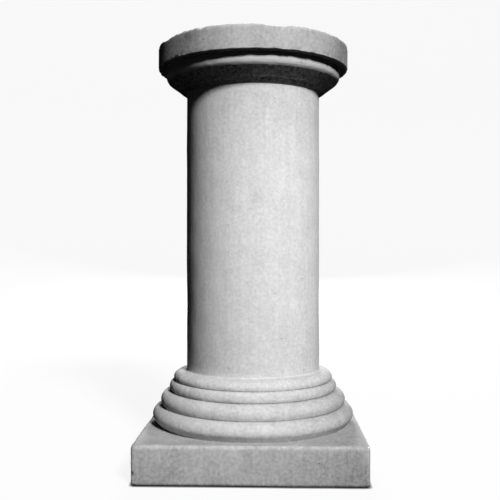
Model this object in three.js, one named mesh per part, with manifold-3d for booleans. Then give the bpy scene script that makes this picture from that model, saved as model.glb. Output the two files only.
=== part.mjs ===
// Garden column in cast stone, one casting: a square plinth, four roll mouldings that
// step in, a plain round shaft, and a capital with a round abacus over an echinus.
// Millimetres, +Z up. The origin is the middle of the underside, where the column
// stands on the ground, and the plinth's sides face along X and Y.

import * as THREE from 'three';
import { mergeVertices } from 'three/addons/utils/BufferGeometryUtils.js';
import Module from 'manifold-3d';

// Plinth. Its arris is the round along every long edge, above and below. The upright
// corners are rounded by the arris and by a little more, which the top face shows.
const plinthSide = 392;
const plinthHeight = 67;
const plinthArris = 5.5;
const plinthTopCorner = 1.5;

// Roll mouldings, from the plinth up. The tuck is how far and how high each roll curls
// in at its foot, which gives the dark line under it. The height takes in the tuck. The
// foot roll is the only one whose underside runs in straight, below a round.
const footRoll = { radius: 187, height: 33, tuckIn: 10, tuckHeight: 16.5 };
const footRollRound = 11;
const lowerRoll = { radius: 172, height: 26.5, tuckIn: 5, tuckHeight: 10.5 };
const upperRoll = { radius: 156, height: 19, tuckIn: 5, tuckHeight: 7 };
const neckRoll = { radius: 148, height: 18, tuckIn: 2.5, tuckHeight: 6 };

// Shaft, straight and plain. The fillet eases its foot into the roll that it stands on.
const shaftRadius = 124;
const shaftHeight = 510.5;
const shaftFillet = 3;

// Capital. The echinus leaves the shaft as a cone and turns up in a small round to an
// upright band, which meets the abacus' underside.
const echinusRadius = 162;
const echinusHeight = 33.5;
const echinusRound = 12;
const echinusBand = 12.5;

// Abacus, a plain slab that stands out over the echinus. Its lower arris is crisp, which
// throws a sharp shadow on the band, and its rim is a plain round.
const abacusRadius = 176.8;
const abacusHeight = 42;
const abacusArris = 1.5;
const abacusRim = 4.5;

// How deep the turned part runs on inside the plinth, so that the two are one.
const bedDepth = 20;

// Fineness of the facets.
const turnSteps = 80;
const mouldingDivisions = 2;
const plinthCornerSteps = 2;
const plinthArrisSteps = 3;

const quarter = Math.PI / 2;

// Levels that the heights above add up to.
const rolls = [footRoll, lowerRoll, upperRoll, neckRoll];
const rollsTop = rolls.reduce((level, roll) => level + roll.height, plinthHeight);
const shaftTop = rollsTop + shaftHeight;
const echinusLevel = shaftTop + echinusHeight;
const abacusFoot = echinusLevel + echinusBand;
const columnTop = abacusFoot + abacusHeight;

// A straight underside from a foot to where it touches a round, then the round out to
// its widest.
function addUnderside(template, footRadius, footLevel, radius, widest, round) {
  const centre = new THREE.Vector2(radius - round, widest);
  const toCentre = centre.clone().sub(new THREE.Vector2(footRadius, footLevel));
  const rise = toCentre.angle() - Math.asin(round / toCentre.length());
  template.absarc(centre.x, centre.y, round, rise - quarter, 0, false);
}

// One roll of the template: out and up over the tuck, then in and up over the shoulder
// to the radius that stands on it.
function addRoll(template, roll, foot, nextRadius) {
  const widest = foot + roll.tuckHeight;
  const shoulder = roll.height - roll.tuckHeight;
  const tuckRadius = roll.radius - roll.tuckIn;
  if (roll === footRoll) {
    addUnderside(template, tuckRadius, foot, roll.radius, widest, footRollRound);
  } else {
    template.absellipse(tuckRadius, widest, roll.tuckIn, roll.tuckHeight, -quarter, 0, false);
  }
  template.absellipse(nextRadius, widest, roll.radius - nextRadius, shoulder, 0, quarter, false);
}

// The four rolls, each shoulder ending under the tuck of the roll above, or under the
// shaft's fillet at the last one.
function addRolls(template) {
  let level = plinthHeight;
  rolls.forEach((roll, index) => {
    const above = rolls[index + 1];
    const nextRadius = above ? above.radius - above.tuckIn : shaftRadius + shaftFillet;
    addRoll(template, roll, level, nextRadius);
    level += roll.height;
  });
}

// The shaft's hollow fillet, then its straight side.
function addShaft(template) {
  const centre = shaftRadius + shaftFillet;
  template.absarc(centre, rollsTop + shaftFillet, shaftFillet, -quarter, -2 * quarter, true);
  template.lineTo(shaftRadius, shaftTop);
}

// The echinus: a straight underside that touches the round, the round up to the band,
// and the band up to the abacus.
function addEchinus(template) {
  addUnderside(template, shaftRadius, shaftTop, echinusRadius, echinusLevel, echinusRound);
  template.lineTo(echinusRadius, abacusFoot);
}

// The abacus: its flat underside, the lower arris, the upright face and the rim.
function addAbacus(template) {
  const arrisRadius = abacusRadius - abacusArris;
  template.absarc(arrisRadius, abacusFoot + abacusArris, abacusArris, -quarter, 0, false);
  template.absarc(abacusRadius - abacusRim, columnTop - abacusRim, abacusRim, 0, quarter, false);
  template.lineTo(0, columnTop);
}

// Everything above the plinth, turned about Z from one template that starts and ends on
// the axis.
function turnedPart() {
  const template = new THREE.Path();
  template.moveTo(0, plinthHeight - bedDepth);
  template.lineTo(footRoll.radius - footRoll.tuckIn, plinthHeight - bedDepth);
  addRolls(template);
  addShaft(template);
  addEchinus(template);
  addAbacus(template);
  const geometry = new THREE.LatheGeometry(template.getPoints(mouldingDivisions), turnSteps);
  return geometry.rotateX(quarter);
}

// The square plinth. The outline drawn is that of its top face, and the arris grows out
// from there to the full side.
function plinthPart() {
  const half = plinthSide / 2 - plinthArris;
  const round = plinthTopCorner;
  const outline = new THREE.Shape();
  [[1, -1], [1, 1], [-1, 1], [-1, -1]].forEach(([x, y], index) => {
    const start = (index - 1) * quarter;
    outline.absarc(x * (half - round), y * (half - round), round, start, start + quarter, false);
  });
  const geometry = new THREE.ExtrudeGeometry(outline, {
    depth: plinthHeight - 2 * plinthArris,
    curveSegments: plinthCornerSteps,
    bevelSize: plinthArris,
    bevelThickness: plinthArris,
    bevelSegments: plinthArrisSteps,
  });
  return geometry.translate(0, 0, plinthArris);
}

const wasm = await Module();
wasm.setup();

// A closed geometry as a solid that can be joined.
function toSolid(geometry) {
  const bare = geometry.clone();
  bare.deleteAttribute('normal');
  bare.deleteAttribute('uv');
  const merged = mergeVertices(bare);
  return new wasm.Manifold(new wasm.Mesh({
    numProp: 3,
    vertProperties: new Float32Array(merged.attributes.position.array),
    triVerts: new Uint32Array(merged.index.array),
  }));
}

// A joined solid back as a geometry.
function toGeometry(solid) {
  const { vertProperties, triVerts } = solid.getMesh();
  const geometry = new THREE.BufferGeometry();
  geometry.setAttribute('position', new THREE.BufferAttribute(vertProperties, 3));
  geometry.setIndex(new THREE.BufferAttribute(triVerts, 1));
  geometry.computeVertexNormals();
  return geometry;
}

// Weathered light grey cast stone, dry and matt.
const castStone = new THREE.MeshStandardMaterial({ color: 0xc4c4c4, roughness: 0.92, metalness: 0 });

const casting = toSolid(plinthPart()).add(toSolid(turnedPart()));
const column = new THREE.Mesh(toGeometry(casting), castStone);
column.name = 'column';

const gardenColumn = new THREE.Group();
gardenColumn.add(column);

export default gardenColumn;
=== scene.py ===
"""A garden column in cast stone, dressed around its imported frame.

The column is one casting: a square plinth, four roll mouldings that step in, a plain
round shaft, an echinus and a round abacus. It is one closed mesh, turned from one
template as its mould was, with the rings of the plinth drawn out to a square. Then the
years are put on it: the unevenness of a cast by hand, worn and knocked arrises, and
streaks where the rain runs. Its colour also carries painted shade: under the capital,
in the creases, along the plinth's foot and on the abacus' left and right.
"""

import logging
import math
import random
from dataclasses import dataclass, field
from enum import Enum

import bmesh
import bpy
from mathutils import Matrix, Vector, kdtree, noise


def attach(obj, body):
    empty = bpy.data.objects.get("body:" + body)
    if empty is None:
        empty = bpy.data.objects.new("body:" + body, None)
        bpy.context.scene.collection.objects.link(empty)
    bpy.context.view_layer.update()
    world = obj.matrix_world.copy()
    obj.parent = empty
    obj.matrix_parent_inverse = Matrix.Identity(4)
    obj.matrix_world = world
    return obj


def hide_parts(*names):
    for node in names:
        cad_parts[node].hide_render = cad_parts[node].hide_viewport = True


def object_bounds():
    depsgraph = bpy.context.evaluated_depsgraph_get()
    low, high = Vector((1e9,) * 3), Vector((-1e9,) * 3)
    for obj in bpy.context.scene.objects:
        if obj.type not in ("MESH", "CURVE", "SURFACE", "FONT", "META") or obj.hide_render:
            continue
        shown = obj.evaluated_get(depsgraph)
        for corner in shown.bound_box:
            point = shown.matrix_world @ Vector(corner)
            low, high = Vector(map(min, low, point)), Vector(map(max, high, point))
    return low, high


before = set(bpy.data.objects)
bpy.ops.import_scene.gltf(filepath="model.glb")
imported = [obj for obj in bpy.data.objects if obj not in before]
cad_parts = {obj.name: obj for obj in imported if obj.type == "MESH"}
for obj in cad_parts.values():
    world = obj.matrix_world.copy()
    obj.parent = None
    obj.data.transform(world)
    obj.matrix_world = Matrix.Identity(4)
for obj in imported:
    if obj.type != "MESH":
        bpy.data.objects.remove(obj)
cad_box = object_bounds()

log = logging.getLogger("garden_column")

# One millimetre in the scene's metres.
MM = 0.001

# Points nearer than this, in metres, are one point.
WELD = 0.01 * MM

# A square has as many corners as sides.
CORNERS = 4

# The Mix node has sockets for each kind of value, and these are its colour ones.
MIX_COLOUR_A = 6
MIX_COLOUR_B = 7
MIX_COLOUR_OUT = 2


class Mark(str, Enum):
    """What each point of the casting carries besides its place."""

    SQUARE = "square"
    BLOCK = "block"
    # Hollows, darkened in the colour with dirt and painted crease shade.
    HOLLOW = "hollow"
    PROUD = "proud"
    FRESH = "fresh"
    # Where the stone is painted darker as shade, under the capital.
    PAINTED_SHADE = "painted_shade"


def linear(hex_colour: str) -> tuple[float, float, float, float]:
    """Turns an sRGB hex colour to the linear values that a shader takes.

    Args:
        hex_colour: The colour, such as "#c6c6c6".

    Returns:
        Red, green, blue and an alpha of 1.
    """
    channels = [int(hex_colour[place:place + 2], 16) / 255 for place in (1, 3, 5)]
    red, green, blue = (
        value / 12.92 if value <= 0.04045 else ((value + 0.055) / 1.055) ** 2.4
        for value in channels
    )
    return red, green, blue, 1.0


def smooth(value: float) -> float:
    """Eases a value from 0 to 1, and holds it there outside that range."""
    value = min(max(value, 0.0), 1.0)
    return value * value * (3 - 2 * value)


def around(radius: float, bearing: float, level: float) -> Vector:
    """Places a point by its bearing in degrees, from the front and on to the right."""
    turn = math.radians(bearing)
    return Vector((radius * math.sin(turn), -radius * math.cos(turn), level))


def add_node(
    tree: bpy.types.NodeTree,
    kind: str,
    links: dict[str | int, object] | None = None,
    **settings: object,
) -> bpy.types.Node:
    """Adds a node to a material.

    Args:
        tree: The tree that the node goes in.
        kind: The node's type.
        links: For each input, by name or number, its value or the output that it reads.
        **settings: The node's own properties.

    Returns:
        The new node.
    """
    node = tree.nodes.new(kind)
    for name, value in settings.items():
        setattr(node, name, value)
    for name, value in (links or {}).items():
        if isinstance(value, bpy.types.NodeSocket):
            tree.links.new(value, node.inputs[name])
        else:
            node.inputs[name].default_value = value
    return node


class Template:
    """The half section of the casting, a chain of edges in the XZ plane.

    It is drawn as a pen would, upwards and outside, in millimetres from the axis and
    from the ground. A bend counts in full from full_bend, a share of the reach, and a
    hollow is kept free of dirt and painted crease shade where it looks up by open_above or
    more, a share of straight up.
    """

    full_bend = 0.5
    open_above = 0.7

    def __init__(self) -> None:
        """Starts an empty template with a layer for each mark."""
        self.mesh = bmesh.new()
        self.layers = {mark: self.mesh.verts.layers.float.new(mark.value) for mark in Mark}
        self.chain: list[bmesh.types.BMVert] = []
        self.square = 0.0
        self.block = 0.0
        self.painted_shade = 0.0

    def point(self, radius: float, level: float) -> None:
        """Adds a point and the edge that leads to it.

        Args:
            radius: The point's distance from the axis.
            level: The point's height above the ground.
        """
        vert = self.mesh.verts.new((radius * MM, 0.0, level * MM))
        vert[self.layers[Mark.SQUARE]] = self.square
        vert[self.layers[Mark.BLOCK]] = self.block
        vert[self.layers[Mark.PAINTED_SHADE]] = self.painted_shade
        if self.chain:
            self.mesh.edges.new((self.chain[-1], vert))
        self.chain.append(vert)

    def line(self, radius: float, level: float, steps: int, square: float | None = None) -> None:
        """Draws a straight stretch from where the pen is.

        Args:
            radius: The distance from the axis at its end.
            level: The height at its end.
            steps: How many edges it is made of.
            square: How square the plinth's rings are at its end, if that changes.
        """
        start = self.chain[-1].co / MM
        before = self.square
        after = before if square is None else square
        for step in range(1, steps + 1):
            share = step / steps
            self.square = before + (after - before) * share
            self.point(start.x + (radius - start.x) * share, start.z + (level - start.z) * share)

    def arc(
        self,
        centre: tuple[float, float],
        radii: tuple[float, float],
        sweep: tuple[float, float],
        steps: int,
    ) -> None:
        """Draws a stretch of a circle or of an upright ellipse.

        Args:
            centre: Its centre, as a radius and a level.
            radii: Its half width and half height.
            sweep: The angles in degrees at which it starts and ends.
            steps: How many edges it is made of.
        """
        for step in range(1, steps + 1):
            angle = math.radians(sweep[0] + (sweep[1] - sweep[0]) * step / steps)
            self.point(
                centre[0] + radii[0] * math.cos(angle),
                centre[1] + radii[1] * math.sin(angle),
            )

    def tangent(self, centre: Vector, radius: float) -> tuple[float, float]:
        """Finds the straight line from the pen to where it touches a round from below.

        Args:
            centre: The round's centre, as a radius and a level.
            radius: The round's radius.

        Returns:
            The line's slope in degrees, and its length.
        """
        to_centre = centre - self.chain[-1].co.xz / MM
        slope = math.atan2(to_centre.y, to_centre.x) - math.asin(radius / to_centre.length)
        return math.degrees(slope), math.sqrt(to_centre.length_squared - radius ** 2)

    def mark_form(self, reach: float) -> None:
        """Marks how hollow or how proud the section is at each point.

        A point where the section bends outwards within the reach is proud, as an arris
        is, and takes the knocks. One where it bends inwards is hollow, and is darkened with
        dirt and painted crease shade unless it faces up.

        Args:
            reach: How far to both sides of a point the section is looked at.
        """
        places = [vert.co.xz / MM for vert in self.chain]
        for index, vert in enumerate(self.chain):
            below = self._along(places, index, -1, reach)
            above = self._along(places, index, 1, reach)
            way = above - below
            outward = Vector((way.y, -way.x)).normalized()
            bend = (below + above - 2 * places[index]).dot(outward) / (2 * reach)
            hollow_darkening = smooth(self.open_above - outward.y)
            vert[self.layers[Mark.HOLLOW]] = smooth(bend / self.full_bend) * hollow_darkening
            vert[self.layers[Mark.PROUD]] = smooth(-bend / self.full_bend)

    @staticmethod
    def _along(places: list[Vector], index: int, way: int, reach: float) -> Vector:
        """Walks along the section.

        Args:
            places: The points of the section.
            index: The point to start from.
            way: 1 to go up the section, -1 to go down it.
            reach: How far to go.

        Returns:
            The place reached, or the end of the section where that comes first.
        """
        here = places[index]
        left = reach
        while 0 <= index + way < len(places):
            step = places[index + way] - here
            if step.length >= left:
                return here + step.normalized() * left
            left -= step.length
            index += way
            here = places[index]
        return here

    def turn(self, columns: int) -> bmesh.types.BMesh:
        """Turns the template about the axis to a closed shell.

        Args:
            columns: How many columns of faces go round.

        Returns:
            The shell, with its faces pointing out.
        """
        bmesh.ops.spin(
            self.mesh,
            geom=self.mesh.verts[:] + self.mesh.edges[:],
            cent=(0, 0, 0),
            axis=(0, 0, 1),
            angle=math.tau,
            steps=columns,
            use_merge=True,
        )
        bmesh.ops.remove_doubles(self.mesh, verts=self.mesh.verts[:], dist=WELD)
        bmesh.ops.recalc_face_normals(self.mesh, faces=self.mesh.faces[:])
        return self.mesh


@dataclass(frozen=True)
class Plinth:
    """The square block that the column stands on, in millimetres.

    Its underside starts round, as far as round_core, and is square at the arris. The
    middle of the arris lies arris_inset inside the sharp corner that it rounds off. The
    wear of an upright corner reaches to corner_reach times the corner's radius. A chip is
    out of the left front corner, and stands off it by chip_out both ways.
    """

    side: float = 392
    height: float = 67
    arris: float = 5.5
    arris_inset: float = 1.2
    corner: float = 6
    corner_reach: float = 1.5
    round_core: float = 90
    chip_out: float = 5
    chip_level: float = 18
    chip_radius: float = 11

    def draw(self, template: Template, top_radius: float) -> None:
        """Draws the underside, the face and the top, with the rings' squareness.

        Args:
            template: The template, which this starts.
            top_radius: Where the top ends, at the foot of the mouldings.
        """
        half = self.side / 2
        flat = half - self.arris
        template.block = 1.0
        template.point(0, 0)
        shoulder = self.height - self.arris
        arris_radii = (self.arris, self.arris)
        template.line(self.round_core, 0, steps=4)
        template.line(flat, 0, steps=8, square=1.0)
        template.arc((flat, self.arris), arris_radii, (-90, 0), steps=4)
        template.line(half, shoulder, steps=24)
        template.arc((flat, shoulder), arris_radii, (0, 90), steps=4)
        template.line(top_radius, self.height, steps=16, square=0.0)

    def reach(self, turn: float) -> float:
        """Gives how much further than at mid side the square's outline is from the axis.

        The outline is the curve of |x|^p + |y|^p = 1, which for a high power is a square
        with small round corners. The power is the one at which a corner is cut as deep as
        by a round of the corner's radius.

        Args:
            turn: The angle about the axis, in radians.

        Returns:
            1 at mid side, and nearly the square root of 2 at a corner.
        """
        power = math.sqrt(2) * math.log(2) / (math.sqrt(2) - 1) * self.side / 2 / self.corner
        spread = abs(math.cos(turn)) ** power + abs(math.sin(turn)) ** power
        return spread ** (-1 / power)


@dataclass(frozen=True)
class Roll:
    """A roll moulding in millimetres: a tuck that curls in below a long shoulder.

    A roll with a tuck_round has a straight underside, which ends in that round.
    """

    radius: float
    height: float
    tuck_in: float
    tuck_height: float
    steps: int
    tuck_round: float = 0

    def draw(self, template: Template, foot: float, next_radius: float) -> None:
        """Draws the tuck and the shoulder.

        Args:
            template: The template, which has come to the roll's foot.
            foot: The level of that foot.
            next_radius: Where the shoulder ends, under what stands on it.
        """
        widest = foot + self.tuck_height
        if self.tuck_round:
            centre = Vector((self.radius - self.tuck_round, widest))
            slope, length = template.tangent(centre, self.tuck_round)
            rise = math.radians(slope)
            end = (
                self.radius - self.tuck_in + length * math.cos(rise),
                foot + length * math.sin(rise),
            )
            template.line(*end, steps=self.steps // 2)
            round_radii = (self.tuck_round, self.tuck_round)
            template.arc(centre[:], round_radii, (slope - 90, 0), steps=self.steps // 2)
        else:
            template.arc(
                (self.radius - self.tuck_in, widest),
                (self.tuck_in, self.tuck_height),
                (-90, 0),
                self.steps,
            )
        template.arc(
            (next_radius, widest),
            (self.radius - next_radius, self.height - self.tuck_height),
            (0, 90),
            self.steps,
        )


@dataclass(frozen=True)
class Shaft:
    """The plain round shaft and the fillet at its foot, in millimetres."""

    radius: float = 124
    height: float = 510.5
    fillet: float = 3

    def draw(self, template: Template, foot: float) -> None:
        """Draws the hollow fillet and the straight side.

        Args:
            template: The template, which has come to the shaft's foot.
            foot: The level of that foot.
        """
        centre = (self.radius + self.fillet, foot + self.fillet)
        template.arc(centre, (self.fillet, self.fillet), (-90, -180), steps=3)
        template.line(self.radius, foot + self.height, steps=44)


@dataclass(frozen=True)
class Echinus:
    """The cushion under the abacus, in millimetres.

    A cone leaves the shaft and ends in a small round, with an upright band over it. A
    faint bead runs round the cone, where the two parts of the mould met. The painted
    shades are how dark the stone is painted as shade, from 0 to 1: on the cone, on the
    lower part of the round, and on the rest, which is upper_share of its sweep and the band.
    """

    radius: float = 162
    height: float = 33.5
    round: float = 12
    band: float = 12.5
    bead_along: float = 14.5
    bead_width: float = 4.5
    bead_height: float = 0.5
    cone_steps: int = 22
    cone_painted_shade: float = 1.0
    lower_painted_shade: float = 0.55
    upper_painted_shade: float = 0.22
    upper_share: float = 0.6

    def draw(self, template: Template, foot_radius: float, foot: float) -> None:
        """Draws the cone with its bead, the round and the band.

        Args:
            template: The template, which has come to the head of the shaft.
            foot_radius: The shaft's radius.
            foot: The level of the shaft's head.
        """
        start = Vector((foot_radius, foot))
        centre = Vector((self.radius - self.round, foot + self.height))
        slope, length = template.tangent(centre, self.round)
        way = Vector((math.cos(math.radians(slope)), math.sin(math.radians(slope))))
        outward = Vector((way.y, -way.x))
        template.painted_shade = self.cone_painted_shade
        for step in range(1, self.cone_steps + 1):
            along = length * step / self.cone_steps
            from_bead = abs(along - self.bead_along) / self.bead_width
            place = start + way * along + outward * self.bead_height * smooth(1 - from_bead)
            template.point(place.x, place.y)
        round_radii = (self.round, self.round)
        lowest = slope - 90
        upper = lowest * self.upper_share
        template.painted_shade = self.lower_painted_shade
        template.arc(centre[:], round_radii, (lowest, upper), steps=4)
        template.painted_shade = self.upper_painted_shade
        template.arc(centre[:], round_radii, (upper, 0), steps=6)
        template.line(self.radius, foot + self.height + self.band, steps=6)


@dataclass(frozen=True)
class Abacus:
    """The round slab at the top, in millimetres.

    The insets are how far inside the sharp corner the middle of the arris and of the rim
    lie. The outer ring of the top has finer faces, for the knocks that reach into it. Its
    underside is painted darker as shade.
    """

    radius: float = 176.8
    height: float = 42
    arris: float = 1.5
    arris_inset: float = 0.7
    rim: float = 4.5
    rim_inset: float = 1.3
    fine_ring: float = 22.5
    soffit_painted_shade: float = 1.0

    def draw(self, template: Template, foot: float) -> None:
        """Draws the underside, the lower arris, the face, the rim and the flat top.

        Args:
            template: The template, which has come to the slab's underside.
            foot: The level of that underside.
        """
        template.block = 1.0
        top = foot + self.height
        arris_centre = (self.radius - self.arris, foot + self.arris)
        rim_centre = (self.radius - self.rim, top - self.rim)
        template.painted_shade = self.soffit_painted_shade
        template.line(arris_centre[0], foot, steps=4)
        template.painted_shade = 0.0
        template.arc(arris_centre, (self.arris, self.arris), (-90, 0), steps=4)
        template.line(self.radius, top - self.rim, steps=16)
        template.arc(rim_centre, (self.rim, self.rim), (0, 90), steps=5)
        template.line(self.radius - self.fine_ring, top, steps=8)
        template.line(0, top, steps=10)


@dataclass(frozen=True)
class Bite:
    """A shallow hollow that a knock or wear left, as a ball in metres that cuts the stone."""

    centre: Vector
    radius: float
    fresh: float = 1.0


@dataclass(frozen=True)
class Knocks:
    """Knocks along an arris, in millimetres and degrees.

    The slope is how far the arris faces up, and fresh is how pale the stone in a knock
    is, from 0 to 1. The stretch that they are on counts for a round arris only, from the
    front and on to the right.
    """

    count: int
    slope: float
    sizes: tuple[float, float]
    depths: tuple[float, float]
    stretch: tuple[float, float] = (-180, 180)
    fresh: float = 1.0


@dataclass
class Weathering:
    """What casting by hand and the years in a garden did to the form, in millimetres.

    Swells and ripples make the faces uneven. Wear takes the arrises down in patches, where
    wear_cover is how much of them is worn and wear_contrast how abruptly a patch ends. A
    knock has a rough floor, which is fresh stone where it is fresh_depth deep or more.
    """

    seed: int = 11
    origin_spread: float = 10
    dimension: float = 0.9
    lacunarity: float = 2.0
    swell_size: float = 95
    swell_depth: float = 0.7
    ripple_size: float = 22
    ripple_depth: float = 0.22
    wear_size: float = 9
    wear_depth: float = 1.1
    wear_cover: float = 0.35
    wear_contrast: float = 1.3
    ground_shield: float = 25
    fracture_size: float = 3.5
    fracture_depth: float = 0.35
    fresh_depth: float = 0.7
    search_margin: float = 1.2
    drop_fullness: float = 1.5
    rng: random.Random = field(init=False)
    origin: Vector = field(init=False)

    def __post_init__(self) -> None:
        """Starts the random draws from the seed."""
        self.rng = random.Random(self.seed)
        spread = self.origin_spread
        self.origin = Vector([self.rng.uniform(-spread, spread) for _ in range(3)])

    def rough(self, place: Vector, size: float, octaves: int = 2) -> float:
        """Gives a random height at a place.

        Args:
            place: The place, in metres.
            size: How wide the humps are, in millimetres.
            octaves: How many finer layers of humps it has.

        Returns:
            A height of about -1 to 1.
        """
        point = place / (size * MM) + self.origin
        return noise.fractal(point, self.dimension, self.lacunarity, octaves)

    def wear(self, mesh: bmesh.types.BMesh) -> None:
        """Makes the faces uneven and wears the arrises down in patches.

        Args:
            mesh: The casting, with its marks.
        """
        proud = mesh.verts.layers.float[Mark.PROUD.value]
        mesh.normal_update()
        moves = []
        for vert in mesh.verts:
            lift = self.swell_depth * self.rough(vert.co, self.swell_size)
            lift += self.ripple_depth * self.rough(vert.co, self.ripple_size)
            ragged = self.wear_contrast * self.rough(vert.co, self.wear_size)
            patch = smooth(self.wear_cover + ragged)
            patch *= smooth(vert.co.z / (self.ground_shield * MM))
            lift -= self.wear_depth * vert[proud] * patch
            moves.append(vert.normal * lift * MM)
        for vert, move in zip(mesh.verts, moves):
            vert.co += move

    def bite(self, mesh: bmesh.types.BMesh, bites: list[Bite]) -> None:
        """Cuts knocks out of the stone, with rough floors of fresh stone.

        Args:
            mesh: The casting, with its marks.
            bites: The knocks.
        """
        fresh = mesh.verts.layers.float[Mark.FRESH.value]
        mesh.verts.ensure_lookup_table()
        tree = kdtree.KDTree(len(mesh.verts))
        for index, vert in enumerate(mesh.verts):
            tree.insert(vert.co, index)
        tree.balance()
        for bite in bites:
            for place, index, _ in tree.find_range(bite.centre, bite.radius * self.search_margin):
                vert = mesh.verts[index]
                ragged = self.fracture_depth * MM * self.rough(place, self.fracture_size)
                away = vert.co - bite.centre
                push = bite.radius + ragged - away.length
                if push > 0:
                    vert.co += away.normalized() * push
                    bared = bite.fresh * smooth(push / (self.fresh_depth * MM))
                    vert[fresh] = max(vert[fresh], bared)

    def drop(self, mesh: bmesh.types.BMesh, centre: Vector, radius: float, height: float) -> None:
        """Leaves a drop of spilt mortar on a face that looks up.

        Args:
            mesh: The casting.
            centre: Its middle, in metres.
            radius: Its radius.
            height: Its height.
        """
        for vert in mesh.verts:
            share = (vert.co - centre).length / (radius * MM)
            vert.co.z += height * MM * smooth(self.drop_fullness * (1 - share))

    def knocks_round(self, knocks: Knocks, rim: tuple[float, float]) -> list[Bite]:
        """Draws knocks along a round arris.

        Args:
            knocks: How many there are, and what they are like.
            rim: The arris' radius and level.

        Returns:
            The knocks.
        """
        bites = []
        slope = math.radians(knocks.slope)
        for _ in range(knocks.count):
            bearing = self.rng.uniform(*knocks.stretch)
            radius = self.rng.uniform(*knocks.sizes)
            stand_off = radius - self.rng.uniform(*knocks.depths)
            out = rim[0] + stand_off * math.cos(slope)
            up = rim[1] + stand_off * math.sin(slope)
            bites.append(Bite(around(out * MM, bearing, up * MM), radius * MM, knocks.fresh))
        return bites

    def knocks_square(self, knocks: Knocks, half: float, level: float) -> list[Bite]:
        """Draws knocks along the four straight arrises of one level.

        Args:
            knocks: How many there are, and what they are like.
            half: Half the length of a side.
            level: The arris' level.

        Returns:
            The knocks.
        """
        bites = []
        slope = math.radians(knocks.slope)
        for _ in range(knocks.count):
            turn = math.tau / CORNERS * self.rng.randrange(CORNERS)
            along = self.rng.uniform(-half, half)
            radius = self.rng.uniform(*knocks.sizes)
            stand_off = radius - self.rng.uniform(*knocks.depths)
            out = half + stand_off * math.cos(slope)
            up = level + stand_off * math.sin(slope)
            centre = Matrix.Rotation(turn, 3, "Z") @ Vector((along, -out, up)) * MM
            bites.append(Bite(centre, radius * MM, knocks.fresh))
        return bites


class Measure(str, Enum):
    """What each broad darkening follows on the casting, real staining and painted shade alike."""

    LEVEL = "level"
    ACROSS = "across"
    REACH = "reach"


@dataclass(frozen=True)
class Ramp:
    """A run from 0 to 1 along a measure, in millimetres."""

    measure: Measure
    start: float
    end: float


@dataclass(frozen=True)
class StainAndShade:
    """A broad darkening, real staining for some and painted shade for others: its tone, as a share of
    the body colour, where its ramps meet.
    """

    tone: float
    ramps: tuple[Ramp, ...]


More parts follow.
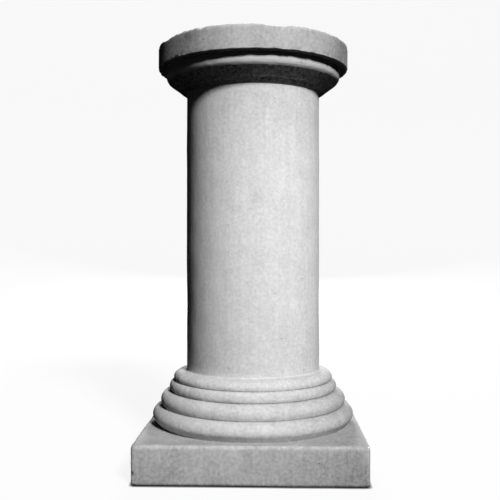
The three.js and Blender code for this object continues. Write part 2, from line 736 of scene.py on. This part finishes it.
@dataclass(frozen=True)
class CastStone:
    """Cast stone, a dry rammed mix of cement and sand, aged out of doors.

    To the eye it is matt and dead flat in the light, with a fine sandy grain, pinholes
    from the ramming, soft clouds of damp and dirt, and paler stone where it is worn. Its
    colour also carries painted shade: with dirt in the hollows, where a point is marked
    as painted shade, and in some of its broad darkenings.
    Tones are shares of the body colour, and sizes are millimetres. The sand's real grain
    is 0.5 to 1 mm, and it is drawn as coarse as it needs to show.
    """

    name: str
    body: str
    stains_and_shade: tuple[StainAndShade, ...]
    # The dark colour of dirt, and of painted shade.
    grime_and_shade: str = "#3c3c3c"
    worn: str = "#dedede"
    grain_size: float = 5.2
    grain_tone: float = 0.57
    cloud_size: float = 30
    cloud_tone: float = 0.30
    streak_width: float = 7
    streak_length: float = 150
    streak_tone: float = 0.20
    pinhole_spacing: float = 17
    pinhole_size: float = 1.1
    pinhole_share: float = 0.35
    pinhole_tone: float = 0.4
    # How strongly the hollows are darkened with dirt and painted crease shade.
    hollow_dirt_and_shade: float = 0.25
    # How strongly what is marked as painted shade is darkened.
    painted_shade_strength: float = 1.6
    proud_wear: float = 0.25
    fresh_wear: float = 0.9
    roughness: float = 0.9
    ior: float = 1.5
    specular: float = 0.25
    grain_relief: float = 0.25
    pinhole_relief: float = 1.0
    pinhole_floor: float = 0.5

    def material(self) -> bpy.types.Material:
        """Builds the finish.

        Returns:
            The material.
        """
        material = bpy.data.materials.new(self.name)
        material.use_nodes = True
        tree = material.node_tree
        tree.nodes.clear()
        place = add_node(tree, "ShaderNodeTexCoord").outputs["Object"]
        squeeze = (1, 1, self.streak_width / self.streak_length)
        drawn = add_node(tree, "ShaderNodeMapping", {"Vector": place, "Scale": squeeze})
        grain, cloud, streak = (
            add_node(
                tree,
                "ShaderNodeTexNoise",
                {"Vector": where, "Scale": 1 / (size * MM), "Detail": detail, "Roughness": rough},
            ).outputs["Fac"]
            for where, size, detail, rough in (
                (place, self.grain_size, 3, 0.65),
                (place, self.cloud_size, 5, 0.6),
                (drawn.outputs["Vector"], self.streak_width, 3, 0.6),
            )
        )
        pinhole = self._pinholes(tree, place)
        shade = self._stained_and_shaded(tree, place, self._tone(tree, grain, cloud, streak, pinhole))
        colour = self._colour(tree, shade, grain, cloud)
        height = self._relief(tree, grain, cloud, pinhole)
        bump = add_node(tree, "ShaderNodeBump", {"Height": height, "Distance": MM})
        surface = add_node(
            tree,
            "ShaderNodeBsdfPrincipled",
            {
                "Base Color": colour,
                "Roughness": self.roughness,
                "IOR": self.ior,
                "Specular IOR Level": self.specular,
                "Normal": bump.outputs["Normal"],
            },
        )
        add_node(tree, "ShaderNodeOutputMaterial", {"Surface": surface.outputs["BSDF"]})
        return material

    def _pinholes(
        self, tree: bpy.types.NodeTree, place: bpy.types.NodeSocket
    ) -> bpy.types.NodeSocket:
        """Adds the pinholes that air left in the face.

        Args:
            tree: The material's tree.
            place: The object's own coordinates.

        Returns:
            1 in a pinhole and 0 beside it.
        """
        cells = add_node(
            tree,
            "ShaderNodeTexVoronoi",
            {"Vector": place, "Scale": 1 / (self.pinhole_spacing * MM), "Randomness": 1.0},
        )
        edge = self.pinhole_size / self.pinhole_spacing
        floor = edge * self.pinhole_floor
        hole = add_node(
            tree,
            "ShaderNodeMapRange",
            {"Value": cells.outputs["Distance"], "From Min": edge, "From Max": floor},
        )
        there = add_node(
            tree,
            "ShaderNodeMath",
            {0: cells.outputs["Color"], 1: self.pinhole_share},
            operation="LESS_THAN",
        )
        return add_node(
            tree,
            "ShaderNodeMath",
            {0: hole.outputs["Result"], 1: there.outputs["Value"]},
            operation="MULTIPLY",
        ).outputs["Value"]

    def _tone(
        self,
        tree: bpy.types.NodeTree,
        grain: bpy.types.NodeSocket,
        cloud: bpy.types.NodeSocket,
        streak: bpy.types.NodeSocket,
        pinhole: bpy.types.NodeSocket,
    ) -> bpy.types.NodeSocket:
        """Adds up the patterns that lighten and darken the body colour.

        Args:
            tree: The material's tree.
            grain: The sand.
            cloud: The clouds of damp and dirt.
            streak: The upright streaks that rain leaves.
            pinhole: The pinholes.

        Returns:
            The share of the body colour that shows.
        """
        shade = 1 - (self.grain_tone + self.cloud_tone + self.streak_tone) / 2
        for pattern, tone in (
            (grain, self.grain_tone),
            (cloud, self.cloud_tone),
            (streak, self.streak_tone),
            (pinhole, -self.pinhole_tone),
        ):
            shade = add_node(
                tree,
                "ShaderNodeMath",
                {0: pattern, 1: tone, 2: shade},
                operation="MULTIPLY_ADD",
            ).outputs["Value"]
        return shade

    def _stained_and_shaded(
        self,
        tree: bpy.types.NodeTree,
        place: bpy.types.NodeSocket,
        shade: bpy.types.NodeSocket,
    ) -> bpy.types.NodeSocket:
        """Takes the staining and the painted shade off the share of the body colour.

        Args:
            tree: The material's tree.
            place: The object's own coordinates.
            shade: The share of the body colour that shows without them.

        Returns:
            The share that shows with them.
        """
        axes = add_node(tree, "ShaderNodeSeparateXYZ", {"Vector": place})
        flat = add_node(
            tree, "ShaderNodeVectorMath", {0: place, 1: (1, 1, 0)}, operation="MULTIPLY"
        )
        reach = add_node(
            tree, "ShaderNodeVectorMath", {0: flat.outputs["Vector"]}, operation="LENGTH"
        )
        measures = {
            Measure.LEVEL: axes.outputs["Z"],
            Measure.ACROSS: axes.outputs["X"],
            Measure.REACH: reach.outputs["Value"],
        }
        for darkening in self.stains_and_shade:
            here = -darkening.tone
            for ramp in darkening.ramps:
                share = add_node(
                    tree,
                    "ShaderNodeMapRange",
                    {
                        "Value": measures[ramp.measure],
                        "From Min": ramp.start * MM,
                        "From Max": ramp.end * MM,
                    },
                )
                here = add_node(
                    tree,
                    "ShaderNodeMath",
                    {0: share.outputs["Result"], 1: here},
                    operation="MULTIPLY",
                ).outputs["Value"]
            shade = add_node(
                tree, "ShaderNodeMath", {0: here, 1: shade}, operation="ADD"
            ).outputs["Value"]
        return shade

    def _colour(
        self,
        tree: bpy.types.NodeTree,
        shade: bpy.types.NodeSocket,
        grain: bpy.types.NodeSocket,
        cloud: bpy.types.NodeSocket,
    ) -> bpy.types.NodeSocket:
        """Tints the body, with dirt and painted shade in its hollows, painted shade where it
        is marked so, and paler stone where it is worn.

        Args:
            tree: The material's tree.
            shade: The share of the body colour that shows.
            grain: The sand, which breaks up the wear and the painted shade.
            cloud: The clouds, which break up the dirt and painted shade in the hollows.

        Returns:
            The colour.
        """
        colour = add_node(
            tree,
            "ShaderNodeVectorMath",
            {0: linear(self.body)[:3], "Scale": shade},
            operation="SCALE",
        ).outputs["Vector"]
        for mark, other, pattern, strength in (
            (Mark.HOLLOW, self.grime_and_shade, cloud, self.hollow_dirt_and_shade),
            (Mark.PAINTED_SHADE, self.grime_and_shade, grain, self.painted_shade_strength),
            (Mark.PROUD, self.worn, grain, self.proud_wear),
            (Mark.FRESH, self.worn, grain, self.fresh_wear),
        ):
            here = add_node(tree, "ShaderNodeAttribute", attribute_name=mark.value)
            broken = add_node(
                tree, "ShaderNodeMath", {0: here.outputs["Fac"], 1: pattern}, operation="MULTIPLY"
            )
            factor = add_node(
                tree,
                "ShaderNodeMath",
                {0: broken.outputs["Value"], 1: strength},
                operation="MULTIPLY",
                use_clamp=True,
            )
            colour = add_node(
                tree,
                "ShaderNodeMix",
                {
                    "Factor": factor.outputs["Value"],
                    MIX_COLOUR_A: colour,
                    MIX_COLOUR_B: linear(other),
                },
                data_type="RGBA",
            ).outputs[MIX_COLOUR_OUT]
        return colour

    def _relief(
        self,
        tree: bpy.types.NodeTree,
        grain: bpy.types.NodeSocket,
        cloud: bpy.types.NodeSocket,
        pinhole: bpy.types.NodeSocket,
    ) -> bpy.types.NodeSocket:
        """Adds up the fine relief.

        Args:
            tree: The material's tree.
            grain: The sand.
            cloud: The clouds, which are also faint dips.
            pinhole: The pinholes.

        Returns:
            The height in millimetres.
        """
        height = 0.0
        for pattern, relief in (
            (grain, self.grain_relief),
            (cloud, self.grain_relief),
            (pinhole, -self.pinhole_relief),
        ):
            height = add_node(
                tree,
                "ShaderNodeMath",
                {0: pattern, 1: relief, 2: height},
                operation="MULTIPLY_ADD",
            ).outputs["Value"]
        return height


# Rises to full at the head of the shaft. On the turned stone it gives painted shade
# under the capital; on the abacus, a darker tone.
HEAD = Ramp(Measure.LEVEL, 535, 675)

# The base is darker on its right hand side.
BASE = Ramp(Measure.LEVEL, 180, 144)
RIGHT = Ramp(Measure.ACROSS, 20, 187)

# The turned faces shed the rain and stay pale. They are darker towards the bottom, and
# carry painted shade under the capital and a darker right side to the base.
TURNED_STONE = CastStone(
    name="cast_stone_turned",
    body="#c8c8c8",
    stains_and_shade=(
        # Painted shade on the head of the shaft and on the echinus, under the abacus.
        StainAndShade(0.17, (HEAD,)),
        StainAndShade(0.25, (Ramp(Measure.LEVEL, 330, 0),)),
        StainAndShade(0.30, (RIGHT, BASE)),
    ),
)

# The blocks' broad faces are darker and blotched. The plinth is darker towards the
# ground, with a painted contact shadow along its foot, and stained at its corners; the
# abacus has painted shade to the left and right.
BLOCK_STONE = CastStone(
    name="cast_stone_block",
    body="#a4a4a4",
    stains_and_shade=(
        StainAndShade(0.04, (HEAD,)),
        # Painted shade on the abacus' left and right, where its round face turns away.
        StainAndShade(0.36, (Ramp(Measure.ACROSS, -50, -110), HEAD)),
        StainAndShade(0.36, (Ramp(Measure.ACROSS, 90, 150), HEAD)),
        StainAndShade(0.20, (Ramp(Measure.LEVEL, 75, 0),)),
        # Painted contact shadow along the plinth's foot.
        StainAndShade(0.70, (Ramp(Measure.LEVEL, 6, 0),)),
        StainAndShade(0.16, (Ramp(Measure.REACH, 205, 275),)),
        StainAndShade(0.10, (RIGHT, BASE)),
    ),
    worn="#d2d2d2",
    grain_tone=0.8,
    cloud_size=46,
    cloud_tone=0.6,
    streak_tone=0.25,
    pinhole_share=0.65,
)


@dataclass
class Column:
    """The whole casting: its mouldings from the ground up, its wear and its finish.

    The knocks are on the abacus' rim and lower edge and on the plinth's shoulder and foot.
    A row with its own stretch is where the column shows it, the first two being long
    shallow dips, and the rest are at random. A drop of mortar is spilt on the plinth.
    """

    plinth: Plinth = Plinth()
    rolls: tuple[Roll, ...] = (
        Roll(radius=187, height=33, tuck_in=10, tuck_height=16.5, steps=10, tuck_round=11),
        Roll(radius=172, height=26.5, tuck_in=5, tuck_height=10.5, steps=8),
        Roll(radius=156, height=19, tuck_in=5, tuck_height=7, steps=6),
        Roll(radius=148, height=18, tuck_in=2.5, tuck_height=6, steps=6),
    )
    shaft: Shaft = Shaft()
    echinus: Echinus = Echinus()
    abacus: Abacus = Abacus()
    rim_knocks: tuple[Knocks, ...] = (
        Knocks(1, slope=80, sizes=(110, 110), depths=(4, 4), stretch=(-60, -56), fresh=0.2),
        Knocks(1, slope=80, sizes=(120, 120), depths=(3.5, 3.5), stretch=(14, 16), fresh=0.0),
        Knocks(15, slope=62, sizes=(6, 13), depths=(1.2, 2.6), stretch=(-60, -28)),
        Knocks(5, slope=50, sizes=(4, 7), depths=(0.8, 1.6), stretch=(56, 72)),
        Knocks(16, slope=45, sizes=(4, 8), depths=(0.5, 1.3)),
    )
    edge_knocks: tuple[Knocks, ...] = (
        Knocks(4, slope=-30, sizes=(4, 6), depths=(0.8, 1.5), stretch=(-53, -44)),
        Knocks(8, slope=-35, sizes=(4, 6), depths=(0.4, 1.0)),
    )
    shoulder_knocks: Knocks = Knocks(30, slope=45, sizes=(4, 8), depths=(0.5, 1.4))
    foot_knocks: Knocks = Knocks(10, slope=-35, sizes=(4, 7), depths=(0.4, 1.2))
    drop_place: tuple[float, float] = (150.5, -184.5)
    drop_radius: float = 4.5
    drop_height: float = 1.8
    weathering: Weathering = field(default_factory=Weathering)
    columns: int = 392
    crowding: float = 0.35
    form_reach: float = 5
    crease: float = 50
    block_share: float = 0.75

    @property
    def shaft_foot(self) -> float:
        """Gives the level of the shaft's foot."""
        return self.plinth.height + sum(roll.height for roll in self.rolls)

    @property
    def abacus_foot(self) -> float:
        """Gives the level of the slab's underside."""
        return self.shaft_foot + self.shaft.height + self.echinus.height + self.echinus.band

    def template(self) -> Template:
        """Draws the whole half section.

        Returns:
            The template, with its marks.
        """
        template = Template()
        lowest = self.rolls[0]
        self.plinth.draw(template, lowest.radius - lowest.tuck_in)
        template.block = 0.0
        level = self.plinth.height
        ends = [roll.radius - roll.tuck_in for roll in self.rolls[1:]]
        ends.append(self.shaft.radius + self.shaft.fillet)
        for roll, end in zip(self.rolls, ends):
            roll.draw(template, level, end)
            level += roll.height
        self.shaft.draw(template, level)
        self.echinus.draw(template, self.shaft.radius, level + self.shaft.height)
        self.abacus.draw(template, self.abacus_foot)
        template.mark_form(self.form_reach)
        return template

    def square_off(self, mesh: bmesh.types.BMesh) -> None:
        """Draws the plinth's rings out to a square, and marks its upright corners.

        The columns of faces are crowded towards the corners, where the plinth needs them.

        Args:
            mesh: The turned casting.
        """
        square = mesh.verts.layers.float[Mark.SQUARE.value]
        proud = mesh.verts.layers.float[Mark.PROUD.value]
        half = self.plinth.side / 2 * MM
        for vert in mesh.verts:
            turn = math.atan2(vert.co.y, vert.co.x)
            turn += self.crowding / CORNERS * math.sin(CORNERS * turn)
            radius = vert.co.xy.length * (1 + vert[square] * (self.plinth.reach(turn) - 1))
            vert.co.x = radius * math.cos(turn)
            vert.co.y = radius * math.sin(turn)
            to_corner = (Vector((half, half)) - Vector((abs(vert.co.x), abs(vert.co.y)))).length
            near = smooth(self.plinth.corner_reach - to_corner / (self.plinth.corner * MM))
            vert[proud] = max(vert[proud], near * vert[square])

    def knocks(self) -> list[Bite]:
        """Lists the knocks on the abacus and on the plinth, and the chip in its corner.

        Returns:
            The knocks.
        """
        abacus = self.abacus
        plinth = self.plinth
        top = self.abacus_foot + abacus.height
        rim = (abacus.radius - abacus.rim_inset, top - abacus.rim_inset)
        edge = (abacus.radius - abacus.arris_inset, self.abacus_foot + abacus.arris_inset)
        half = plinth.side / 2 - plinth.arris_inset
        shoulder = plinth.height - plinth.arris_inset
        bites = []
        for place, rows in ((rim, self.rim_knocks), (edge, self.edge_knocks)):
            for row in rows:
                bites += self.weathering.knocks_round(row, place)
        bites += self.weathering.knocks_square(self.shoulder_knocks, half, shoulder)
        bites += self.weathering.knocks_square(self.foot_knocks, half, plinth.arris_inset)
        corner = half + plinth.chip_out
        chip = Vector((-corner, -corner, plinth.chip_level))
        bites.append(Bite(chip * MM, plinth.chip_radius * MM))
        return bites

    def build(self) -> bpy.types.Object:
        """Makes the casting, wears it and dresses it.

        Returns:
            The finished piece.
        """
        mesh = self.template().turn(self.columns)
        self.square_off(mesh)
        self.weathering.wear(mesh)
        self.weathering.bite(mesh, self.knocks())
        spilt = Vector((*self.drop_place, self.plinth.height)) * MM
        self.weathering.drop(mesh, spilt, self.drop_radius, self.drop_height)
        self._finish_faces(mesh)
        data = bpy.data.meshes.new("cast_column")
        mesh.to_mesh(data)
        mesh.free()
        data.materials.append(TURNED_STONE.material())
        data.materials.append(BLOCK_STONE.material())
        piece = bpy.data.objects.new("cast_column", data)
        bpy.context.scene.collection.objects.link(piece)
        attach(piece, "root")
        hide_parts("column")
        return piece

    def _finish_faces(self, mesh: bmesh.types.BMesh) -> None:
        """Smooths the faces, keeps the creases sharp and sorts the faces by finish.

        Args:
            mesh: The worn casting.
        """
        block = mesh.verts.layers.float[Mark.BLOCK.value]
        sharp = math.radians(self.crease)
        mesh.normal_update()
        for face in mesh.faces:
            face.smooth = True
            share = sum(vert[block] for vert in face.verts) / len(face.verts)
            face.material_index = 1 if share > self.block_share else 0
        for edge in mesh.edges:
            edge.smooth = edge.calc_face_angle(0.0) < sharp


@dataclass(frozen=True)
class Studio:
    """The pale room, in metres: a floor that sweeps up to a wall all round.

    It glows for the camera alone, dimmed by a painted contact shadow where something is
    nearer than contact.
    """

    floor_radius: float = 3.4
    sweep: float = 1.6
    sweep_steps: int = 24
    wall: float = 4.0
    sides: int = 96
    pale: str = "#f7f7f7"
    glow: float = 0.94
    paper: float = 0.09
    ambient: float = 0.010
    contact: float = 0.006
    contact_shadow_power: float = 3.0

    def build(self) -> bpy.types.Object:
        """Turns the room and lights the air in it.

        Returns:
            The floor and wall, in one piece.
        """
        mesh = bmesh.new()
        centre = mesh.verts.new((0, 0, 0))
        edge = mesh.verts.new((self.floor_radius, 0, 0))
        wall_radius = self.floor_radius + self.sweep
        foot = mesh.verts.new((wall_radius, 0, 0))
        head = mesh.verts.new((wall_radius, 0, self.wall))
        for first, second in ((centre, edge), (edge, foot), (foot, head)):
            mesh.edges.new((first, second))
        bmesh.ops.bevel(
            mesh,
            geom=[foot],
            offset=self.sweep,
            offset_type="OFFSET",
            segments=self.sweep_steps,
            profile=0.5,
            affect="VERTICES",
            material=-1,
        )
        bmesh.ops.spin(
            mesh,
            geom=mesh.verts[:] + mesh.edges[:],
            cent=(0, 0, 0),
            axis=(0, 0, 1),
            angle=math.tau,
            steps=self.sides,
            use_merge=True,
        )
        bmesh.ops.remove_doubles(mesh, verts=mesh.verts[:], dist=WELD)
        bmesh.ops.recalc_face_normals(mesh, faces=mesh.faces[:])
        bmesh.ops.reverse_faces(mesh, faces=mesh.faces[:])
        for face in mesh.faces:
            face.smooth = True
        data = bpy.data.meshes.new("studio_floor")
        mesh.to_mesh(data)
        mesh.free()
        data.materials.append(self._material())
        room = bpy.data.objects.new("studio_floor", data)
        bpy.context.scene.collection.objects.link(room)
        room.visible_diffuse = False
        room.visible_glossy = False
        room.visible_shadow = False
        self._light_air()
        return room

    def _material(self) -> bpy.types.Material:
        """Makes the pale sweep, partly lit from itself so that shadows on it stay soft."""
        material = bpy.data.materials.new("studio_paper")
        material.use_nodes = True
        tree = material.node_tree
        tree.nodes.clear()
        paper = add_node(tree, "ShaderNodeBsdfDiffuse", {"Color": (self.paper,) * 3 + (1,)})
        # Painted contact shadow: the glow fades close to the column.
        near = add_node(tree, "ShaderNodeAmbientOcclusion", {"Distance": self.contact})
        beyond_contact_shadow = add_node(
            tree,
            "ShaderNodeMath",
            {0: near.outputs["AO"], 1: self.contact_shadow_power},
            operation="POWER",
        )
        strength = add_node(
            tree, "ShaderNodeMath", {0: beyond_contact_shadow.outputs["Value"], 1: self.glow}, operation="MULTIPLY"
        )
        glow = add_node(
            tree,
            "ShaderNodeEmission",
            {"Color": linear(self.pale), "Strength": strength.outputs["Value"]},
        )
        both = add_node(
            tree, "ShaderNodeAddShader", {0: paper.outputs["BSDF"], 1: glow.outputs["Emission"]}
        )
        add_node(tree, "ShaderNodeOutputMaterial", {"Surface": both.outputs["Shader"]})
        return material

    def _light_air(self) -> None:
        """Gives the shadows their faint fill."""
        world = bpy.data.worlds.new("studio_air")
        world.use_nodes = True
        world.node_tree.nodes["Background"].inputs["Color"].default_value = (1, 1, 1, 1)
        world.node_tree.nodes["Background"].inputs["Strength"].default_value = self.ambient
        bpy.context.scene.world = world


@dataclass(frozen=True)
class SoftLight:
    """A square soft light that looks at the middle of the column."""

    name: str
    bearing: float
    elevation: float
    distance: float
    side: float
    power: float

    def build(self, target: Vector) -> bpy.types.Object:
        """Hangs the light.

        Args:
            target: The point that it looks at.

        Returns:
            The light.
        """
        lamp = bpy.data.lights.new(self.name, "AREA")
        lamp.shape = "SQUARE"
        lamp.size = self.side
        lamp.energy = self.power
        light = bpy.data.objects.new(self.name, lamp)
        rise = math.radians(self.elevation)
        away = around(self.distance * math.cos(rise), self.bearing, self.distance * math.sin(rise))
        light.location = target + away
        light.rotation_euler = (-away).to_track_quat("-Z", "Y").to_euler()
        light.visible_camera = False
        bpy.context.scene.collection.objects.link(light)
        return light


@dataclass(frozen=True)
class ViewCamera:
    """The camera at the photograph's place: level, a little to the right of the front."""

    frame_px: float = 500
    focal_px: float = 750
    axis_px: float = 253
    horizon_px: float = 250
    sensor: float = 36
    distance: float = 1.415
    height: float = 0.3862
    bearing: float = 1.5

    def build(self) -> bpy.types.Object:
        """Sets the camera up and makes it the scene's own.

        Returns:
            The camera.
        """
        lens = bpy.data.cameras.new("view_camera")
        lens.sensor_width = self.sensor
        lens.lens = self.focal_px / self.frame_px * self.sensor
        lens.shift_x = (self.frame_px / 2 - self.axis_px) / self.frame_px
        lens.shift_y = (self.horizon_px - self.frame_px / 2) / self.frame_px
        camera = bpy.data.objects.new("view_camera", lens)
        camera.location = around(self.distance, self.bearing, self.height)
        camera.rotation_euler = (math.radians(90), 0, math.radians(self.bearing))
        bpy.context.scene.collection.objects.link(camera)
        bpy.context.scene.camera = camera
        return camera


def main() -> None:
    """Builds the camera, the column, the room and the lights."""
    logging.basicConfig(level=logging.INFO, format="%(name)s: %(message)s")
    bpy.context.scene.view_settings.view_transform = "Standard"
    camera = ViewCamera().build()
    log.info("%s at %.3f m", camera.name, camera.location.length)
    low, high = cad_box
    column = Column().build()
    log.info("%s, %d faces", column.name, len(column.data.polygons))
    room = Studio().build()
    log.info("%s, stage", room.name)
    middle = (low + high) / 2
    for light in (
        SoftLight("key_light", bearing=25.5, elevation=34.6, distance=10.0, side=1.7, power=1550),
        SoftLight("back_light", bearing=180, elevation=12, distance=4.0, side=0.8, power=190),
    ):
        log.info("%s placed", light.build(middle).name)


if __name__ == "__main__":
    main()
